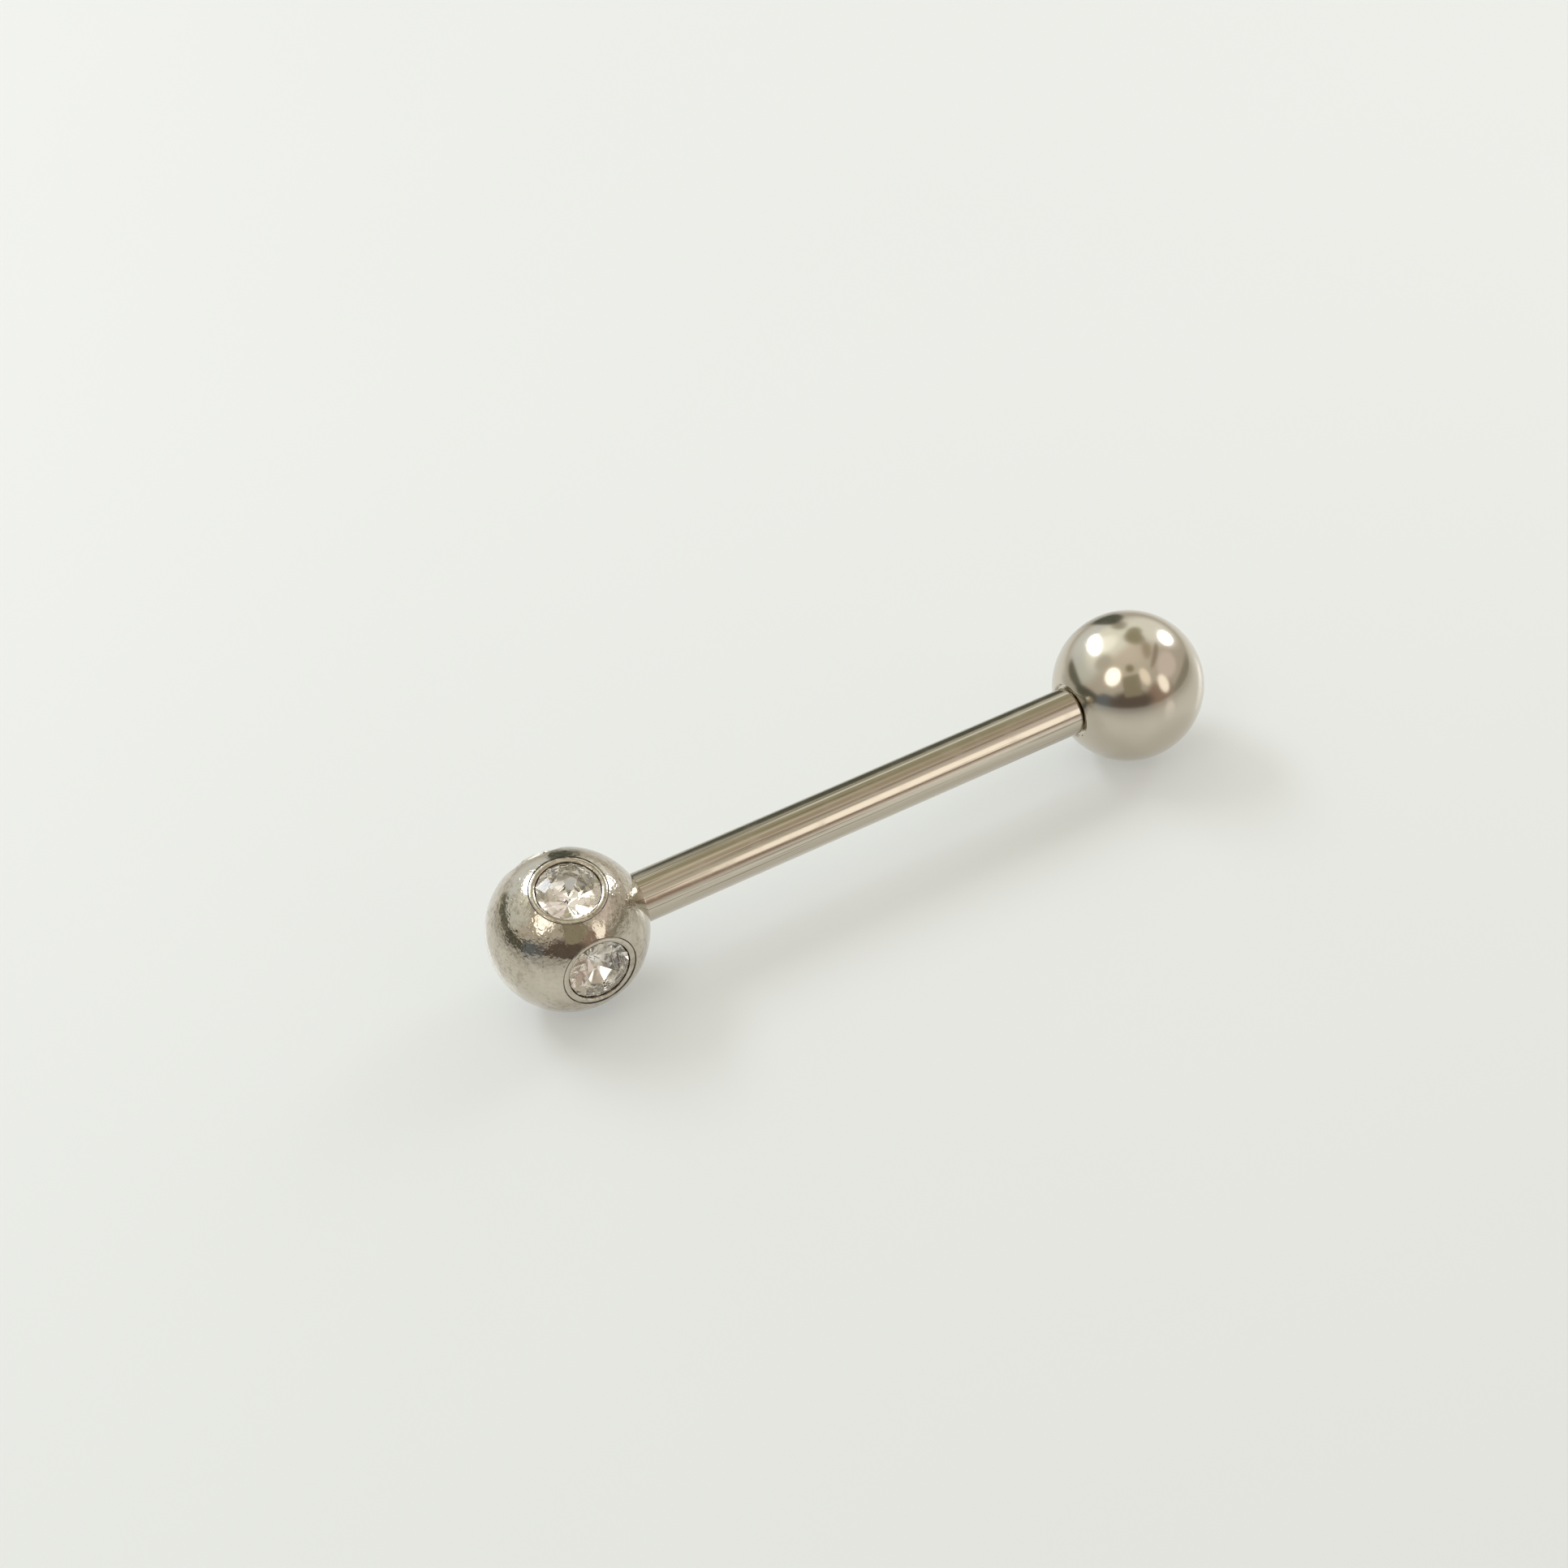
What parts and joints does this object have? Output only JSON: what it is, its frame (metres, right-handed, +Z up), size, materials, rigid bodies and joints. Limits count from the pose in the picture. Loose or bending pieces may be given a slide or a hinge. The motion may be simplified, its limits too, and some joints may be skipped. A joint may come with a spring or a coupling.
{
  "type": "tongue barbell",
  "caption": "Straight steel tongue barbell: a round bar with a polished screw-on ball at each end, one ball set with clear round crystals.",
  "frame": {"origin": "on the surface that the barbell lies on, below the middle of its whole length", "axes": "+X along the bar from the jewelled ball to the plain ball, +Z up from the surface, +Y completes the frame"},
  "size_m": [0.0258, 0.005, 0.005],
  "materials": {
    "bar_steel": "polished, with fine lengthwise streaks",
    "ball_steel": "polished, worn with fine scratches and small pits",
    "mirror_steel": "mirror polish",
    "crystal": "clear cut crystal, foiled behind"
  },
  "bodies": {
    "root": {"bar": "bar_steel", "jewelled_ball": "ball_steel", "plain_ball": "mirror_steel", "stone_1": "crystal", "stone_2": "crystal", "stone_3": "crystal", "stone_4": "crystal", "stone_5": "crystal"}
  },
  "joints": []
}
